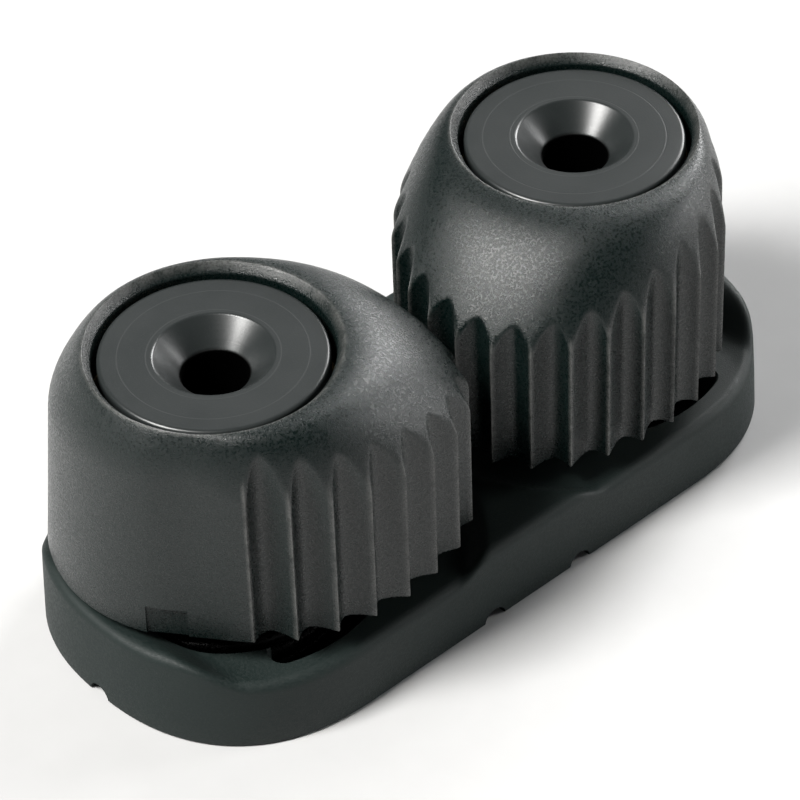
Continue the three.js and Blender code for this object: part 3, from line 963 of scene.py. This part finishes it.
# painted shade: the spring's steel is coloured near-black for the dark gap under the cam; bare spring
# steel is much lighter
spring_shade_finish = make_steel_finish("spring steel darkened as painted shade", False, (0.02, 0.02, 0.02), (0.045, 0.045, 0.045))
OWN_FINISHES = {held.name for held in (
    cam_finish, window_finish, base_finish, hub_finish, ball_finish, race_finish, spring_shade_finish)}


def settle(piece, finish, body, slot, *nodes):
    """Gives a finished piece its finish, its body and the CAD nodes that it stands for."""
    dress(piece, finish)
    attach(piece, body)
    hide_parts(*nodes)


# The cleat
settle(make_base(), base_finish, "base", "base_plastic", "base")
ball_pattern = make_ball()
for name, side in SIDES.items():
    settle(make_cam(name), cam_finish, f"cam_{name}", "cam_plastic", f"cam_{name}")
    settle(make_spring(side, name), spring_shade_finish, f"cam_{name}", "spring_steel", f"spring_{name}")
    settle(make_hub(side, name), hub_finish, "base", "hub_plastic", f"hub_{name}")
    settle(make_washer(side, name), race_finish, "base", "race_steel", f"lower_race_{name}")
    for row in ROWS:
        for number in range(1, BALLS_PER_ROW + 1):
            node = f"ball_{name}_{row}_{number}"
            low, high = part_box(node)
            ball = bpy.data.objects.new(f"{node}_turning", ball_pattern.data.copy())
            bpy.context.scene.collection.objects.link(ball)
            ball.data.transform(Matrix.Translation((low + high) / 2))
            settle(ball, ball_finish, f"balls_{name}", "ball_plastic", node)
bpy.data.objects.remove(ball_pattern)


# Floor, light and camera
def make_floor():
    put_down()
    bpy.ops.mesh.primitive_plane_add(size=6, location=(0, 0, -0.00005))
    floor = bpy.context.object
    floor.name = "floor"
    floor.data.materials.append(make_floor_finish())


def soft_light(name, place, target, size, power, colour=(1, 1, 1)):
    lamp = bpy.data.lights.new(name, "AREA")
    lamp.shape = "RECTANGLE"
    lamp.size, lamp.size_y = size
    lamp.energy = power
    lamp.color = colour
    light = bpy.data.objects.new(name, lamp)
    bpy.context.scene.collection.objects.link(light)
    light.location = place
    aim = Vector(target) - Vector(place)
    light.rotation_euler = aim.to_track_quat("-Z", "Y").to_euler()


def light_room(tree):
    """A pale room that is bright round the horizon and dark overhead."""
    split = tree.nodes.new("ShaderNodeSeparateXYZ")
    tree.links.new(tree.nodes.new("ShaderNodeTexCoord").outputs["Generated"], split.inputs[0])
    glow = spread(tree, split.outputs["Z"], 0.0, 0.6, 0.25, 0.02)
    tree.links.new(glow, tree.nodes["Background"].inputs["Strength"])
    tree.nodes["Background"].inputs["Color"].default_value = (0.93, 0.97, 0.98, 1)


CAMERA_PLACE = Vector((-164.589, -188.870, 234.175)) * MM
CAMERA_RIGHT = Vector((0.73836461, -0.67384207, -0.02746941))
CAMERA_UP = Vector((0.46415807, 0.47820931, 0.74556901))
CAMERA_BACK = Vector((-0.48925964, -0.56325192, 0.66586206))
LENS = 188.0

make_floor()
centre = Vector((0, 0, 0.015))
left = Vector((-CAMERA_RIGHT.x, -CAMERA_RIGHT.y, 0)).normalized()
behind = Vector((-CAMERA_BACK.x, -CAMERA_BACK.y, 0)).normalized()
high = Vector((0, 0, 1))
soft_light("key", centre + Vector((-0.30, 0.08, 0.40)), centre, (0.16, 0.22), 5.0,
           (1.0, 0.99, 0.97))
soft_light("right", centre + Vector((0.44, 0.10, 0.22)), centre, (0.22, 0.15), 2.4)
soft_light("low right", centre + Vector((0.40, -0.22, 0.12)), centre, (0.12, 0.12), 1.0)
soft_light("back", centre + behind * 0.42 + high * 0.42, centre, (0.5, 0.3), 0.33)

world = bpy.data.worlds.new("studio")
bpy.context.scene.world = world
world.use_nodes = True
light_room(world.node_tree)
bpy.context.scene.view_settings.view_transform = "Standard"

lens = bpy.data.cameras.new("camera")
lens.lens = LENS
lens.sensor_width = 36
lens.clip_start = 0.01
camera = bpy.data.objects.new("camera", lens)
bpy.context.scene.collection.objects.link(camera)
camera.matrix_world = Matrix((
    (CAMERA_RIGHT.x, CAMERA_UP.x, CAMERA_BACK.x, CAMERA_PLACE.x),
    (CAMERA_RIGHT.y, CAMERA_UP.y, CAMERA_BACK.y, CAMERA_PLACE.y),
    (CAMERA_RIGHT.z, CAMERA_UP.z, CAMERA_BACK.z, CAMERA_PLACE.z),
    (0, 0, 0, 1)))
bpy.context.scene.camera = camera
